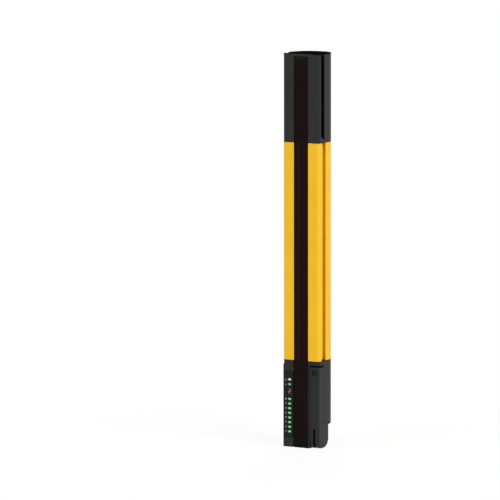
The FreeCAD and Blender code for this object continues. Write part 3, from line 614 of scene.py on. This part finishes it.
class CURTAIN_OT_indicators(bpy.types.Operator):
    """Lit zone lights, status lights and digit, and the cover round them"""
    bl_idname = "curtain.indicators"
    bl_label = "Indicators"

    def execute(self, context):
        colours = context.scene.curtain_colours
        low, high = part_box("zone_light_guide")
        tip_low, tip_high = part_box("status_light_green")
        half_wide, half_tall = (high[0] - low[0]) / 2, (tip_high[2] - tip_low[2]) / 2
        centre = middle("zone_light_guide").x
        first_up = low[2] + half_tall
        pitch = (high[2] - low[2] - 2 * half_tall) / (ZONES - 1)
        green_up, amber_up = middle("status_light_green").z, middle("status_light_amber").z

        green = tuple(colours.green)
        faint_green = tuple(part * 0.75 for part in green)
        dress(lit_pipe("zone_glow", green, (0.03, 0.14, 0.05), half_wide, half_tall, centre,
                       first_up, pitch), "zone_light_guide")
        dress(lit_pipe("status_green", faint_green, (0.02, 0.1, 0.03),
                       half_wide, half_tall, centre, green_up), "status_light_green")
        dress(lit_pipe("status_amber", tuple(colours.amber), (0.12, 0.12, 0.05),
                       half_wide, half_tall, centre, amber_up), "status_light_amber")
        face = self.cover(tuple(colours.cover), low[2], high[2], centre)
        dress(plain_finish("digit_glass", (0.012, 0.007, 0.005), 0.5 * MM, 0.2, specular=0.1),
              "digit_display")
        self.digit(tuple(colours.digit))

        ink = plain_finish("legend_ink", (0.75, 0.77, 0.73), 0.2 * MM, 0.6)
        beside, figure, dash = -11.75 * MM, 1.7 * MM, 3.4 * MM
        for zone in range(ZONES):
            number = str(zone + 1)
            self.legend(number, figure, (beside, face, first_up + zone * pitch), ink, number)
        for name, up in (("green", green_up), ("amber", amber_up)):
            self.legend("-", dash, (beside, face, up), ink, name)
        return {"FINISHED"}

    def cover(self, colour, zones_low, zones_high, centre):
        """Cover whose front is sunk a little for the printing. Returns where it was, along Y."""
        margin, sunk = 0.8 * MM, 0.03 * MM
        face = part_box("display_cover")[0][1]
        film = satin_film(colour, (0.0, 0.02, 0.002), zones_low - margin, zones_high + margin,
                          centre)
        cover = softened("display_cover", "printed_cover", film, 0.06 * MM, 1)
        shift(cover, lambda at: at.y < face / MM + 0.02, (0, sunk, 0))
        return face

    def legend(self, body, size, place, ink, name):
        """One printed character, centred on its place, which is on the character's front."""
        pick_nothing()
        thick = 0.01 * MM
        across, along, up = place
        bpy.ops.object.text_add(location=(across, along + thick, up),
                                rotation=(math.radians(90), 0, 0))
        piece = bpy.context.object
        piece.data.body = body
        piece.data.size = size
        piece.data.extrude = thick
        piece.data.resolution_u = 3
        piece.data.align_x = "CENTER"
        piece.data.align_y = "CENTER"
        pick(piece)
        bpy.ops.object.convert(target="MESH")
        settle(bpy.context.object, "legend_" + name, ink)

    def digit(self, colour):
        """Seven bars of the digit. Those of a 2 are lit, its middle bar the most."""
        centre = middle("digit_display")
        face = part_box("digit_display")[0][1]
        half, width = 0.75 * MM, 0.5 * MM
        bright = plain_finish("bar_bright", colour, 0.3 * MM, 0.4, glow=1.0)
        dim = plain_finish("bar_dim", tuple(part * 0.42 for part in colour), 0.3 * MM, 0.4,
                           glow=1.0)
        dark = plain_finish("bar_dark", (0.012, 0.009, 0.008), 0.3 * MM, 0.4, specular=0.1)
        bars = (("top", 0, 2, 0, dim), ("middle", 0, 0, 0, bright), ("bottom", 0, -2, 0, dim),
                ("upper_right", 1, 1, 90, dim), ("lower_left", -1, -1, 90, dim),
                ("upper_left", -1, 1, 90, dark), ("lower_right", 1, -1, 90, dark))
        length = half * 2 - width * 0.35
        shape = self.bar(length, width)
        for name, aside, rise, turn, material in bars:
            piece = bpy.data.objects.new("bar", shape.data.copy())
            bpy.context.collection.objects.link(piece)
            piece.location = (centre.x + aside * half, face, centre.z + rise * half)
            piece.rotation_euler = (0, math.radians(turn), 0)
            settle(piece, "digit_bar_" + name, material)
        bpy.data.objects.remove(shape)

    def bar(self, length, width):
        """Flat bar along X with pointed ends, whose back lies in the XZ plane."""
        pick_nothing()
        thick, point = 0.04 * MM, width * 0.45
        bpy.ops.mesh.primitive_cube_add(size=1, location=(0, -thick / 2, 0),
                                        scale=(length, thick, width))
        piece = bpy.context.object
        bpy.ops.object.transform_apply(location=True, rotation=True, scale=True)
        bpy.ops.object.mode_set(mode="EDIT")
        bpy.ops.mesh.select_mode(type="EDGE")
        bpy.ops.mesh.select_all(action="DESELECT")
        bpy.ops.object.mode_set(mode="OBJECT")
        ends = [vertex.co for vertex in piece.data.vertices]
        for edge in piece.data.edges:
            first, second = edge.vertices
            edge.select = abs(ends[first][1] - ends[second][1]) > thick / 2
        bpy.ops.object.mode_set(mode="EDIT")
        bpy.ops.mesh.bevel(offset=point, segments=1, affect="EDGES")
        bpy.ops.mesh.select_mode(type="VERT")
        bpy.ops.object.mode_set(mode="OBJECT")
        return piece


class CURTAIN_OT_hardware(bpy.types.Operator):
    """Finish of screws, seals, boards and contacts"""
    bl_idname = "curtain.hardware"
    bl_label = "Hardware"

    def execute(self, context):
        steel = plain_finish("blackened_steel", (0.03, 0.03, 0.032), 0.3 * MM, 0.4,
                             metallic=0.3)
        deep = plain_finish("drive_shade", (0.002, 0.002, 0.002), 0.3 * MM, 0.8, specular=0.0)
        drive = 1.3

        axis = middle("captive_screw") / MM
        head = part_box("captive_screw")[0][1] / MM
        screw = softened("captive_screw", "finished_captive_screw", steel,
                         0.08 * MM, 1)
        repaint(screw, deep, lambda at, facing: (
            math.hypot(at.x - axis.x, at.z - axis.z) < drive and head + 0.1 < at.y < head + 2.2))

        axis = middle("cap_screw") / MM
        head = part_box("cap_screw")[0][0] / MM
        screw = softened("cap_screw", "finished_cap_screw", steel, 0.08 * MM, 1)
        repaint(screw, deep, lambda at, facing: (
            math.hypot(at.y - axis.y, at.z - axis.z) < drive and head + 0.3 < at.x < head + 1.3))

        dress(plain_finish("turned_steel", (0.45, 0.45, 0.47), 0.3 * MM, 0.35, metallic=1.0),
              "shell_screws", "ground_clip")
        dress(plain_finish("seal_rubber", (0.004, 0.004, 0.004), 0.4 * MM, 0.7, specular=0.05),
              "window_gasket", "top_gasket", "bottom_gasket", "plug_seal")
        dress(plain_finish("solder_mask", (0.01, 0.09, 0.035), 0.6 * MM, 0.35),
              "receiver_board", "display_board")
        dress(plain_finish("black_package", (0.015, 0.015, 0.017), 0.3 * MM, 0.5),
              "processor_chips", "photodiodes", "board_connector", "socket_block",
              "optics_chassis")
        dress(plain_finish("clear_moulding", (0.7, 0.7, 0.72), 0.8 * MM, 0.15),
              "lens_strip", "display_leds")
        dress(plain_finish("plated_contact", (0.75, 0.52, 0.2), 0.2 * MM, 0.25, metallic=1.0),
              "plug_contacts", "contact_pins")
        return {"FINISHED"}


class CURTAIN_OT_studio(bpy.types.Operator):
    """Pale floor and backdrop, soft lights and the camera"""
    bl_idname = "curtain.studio"
    bl_label = "Studio"

    def execute(self, context):
        studio = context.scene.curtain_studio
        scene = context.scene
        scene.view_settings.view_transform = "Standard"
        low, high = CAD_BOX
        centre = (Vector(low) + Vector(high)) / 2

        self.floor(low[2])
        self.world(scene)
        self.lamp("key_light", centre, azimuth=72, elevation=35, level=0.73)
        self.lamp("fill_light", centre, azimuth=-25, elevation=35, level=0.31)
        self.lamp("back_light", centre, azimuth=205, elevation=30, level=0.4)
        self.camera(scene, studio, centre)
        return {"FINISHED"}

    def floor(self, height):
        """Floor that the camera sees as pale round the bar and as white further out."""
        pale, near, far = 0.86, 0.03, 0.24
        pick_nothing()
        bpy.ops.mesh.primitive_plane_add(size=8.0, location=(0, 0, height))
        floor = bpy.context.object
        bpy.ops.object.transform_apply(location=True)
        floor.name = "studio_floor"
        shader = Shader("pale_floor", (pale, pale, pale), roughness=0.9, specular=0.1)
        across, along, _ = shader.axes()
        outer = (across ** 2.0 + along ** 2.0).step(near ** 2, far ** 2)
        lit = Wire(shader, shader.surface.outputs[0])
        white = shader.node("Emission", {"Color": (1, 1, 1), "Strength": 1.0})
        share = shader.seen() * (pale + outer * (1 - pale))
        shown = shader.node("MixShader", {0: share, 1: lit, 2: white})
        shader.feed(shader.tree.nodes["Material Output"].inputs["Surface"], shown)
        floor.data.materials.append(shader.material)

    def world(self, scene):
        """Backdrop that looks white and lights the bar with part of that white."""
        ambient = 0.42
        world = bpy.data.worlds.new("studio_world")
        scene.world = world
        world.use_nodes = True
        sky = NodeTree(world.node_tree)
        background = sky.tree.nodes["Background"]
        sky.feed(background.inputs["Color"], (1, 1, 1))
        sky.feed(background.inputs["Strength"], ambient + sky.seen() * (1 - ambient))

    def lamp(self, name, target, azimuth, elevation, level, distance=3.0, size=1.6):
        """Soft lamp. Its level is the share of its own colour that a facing surface shows."""
        data = bpy.data.lights.new(name, "AREA")
        data.size = size
        data.energy = level * (math.pi * distance) ** 2
        lamp = bpy.data.objects.new(name, data)
        bpy.context.collection.objects.link(lamp)
        back = toward(math.radians(azimuth), math.radians(elevation))
        lamp.location = target + back * distance
        lamp.rotation_euler = back.to_track_quat("Z", "Y").to_euler()

    def camera(self, scene, studio, centre):
        """Camera that looks at the bar's axis, with the bar set aside from the middle."""
        data = bpy.data.cameras.new("camera")
        data.sensor_width = 36.0
        data.lens = studio.lens
        data.shift_x = -studio.aside
        data.clip_start = 0.05
        data.clip_end = 50.0
        camera = bpy.data.objects.new("camera", data)
        bpy.context.collection.objects.link(camera)
        back = toward(studio.azimuth, studio.elevation)
        aim = Vector((centre.x, centre.y, studio.target))
        camera.location = aim + back * studio.distance
        camera.rotation_euler = back.to_track_quat("Z", "Y").to_euler()
        scene.camera = camera


class CURTAIN_PT_panel(bpy.types.Panel):
    """Lists the steps in the order in which they run"""
    bl_idname = "CURTAIN_PT_panel"
    bl_label = "Light Curtain"
    bl_space_type = "VIEW_3D"
    bl_region_type = "UI"
    bl_category = "Curtain"

    def draw(self, context):
        for step in STEPS:
            self.layout.operator(step.bl_idname)
        for group in (context.scene.curtain_colours, context.scene.curtain_studio):
            for name in group.__annotations__:
                self.layout.prop(group, name)


STEPS = (CURTAIN_OT_profile, CURTAIN_OT_mouldings, CURTAIN_OT_window, CURTAIN_OT_indicators,
         CURTAIN_OT_hardware, CURTAIN_OT_studio)
CLASSES = (CurtainColours, CurtainStudio, *STEPS, CURTAIN_PT_panel)


def register():
    for item in CLASSES:
        bpy.utils.register_class(item)
    bpy.types.Scene.curtain_colours = bpy.props.PointerProperty(type=CurtainColours)
    bpy.types.Scene.curtain_studio = bpy.props.PointerProperty(type=CurtainStudio)


def unregister():
    del bpy.types.Scene.curtain_studio
    del bpy.types.Scene.curtain_colours
    for item in reversed(CLASSES):
        bpy.utils.unregister_class(item)


def main():
    """Run every step in order."""
    register()
    for step in STEPS:
        family, name = step.bl_idname.split(".")
        getattr(getattr(bpy.ops, family), name)()
    bpy.context.view_layer.update()


if __name__ == "__main__":
    main()
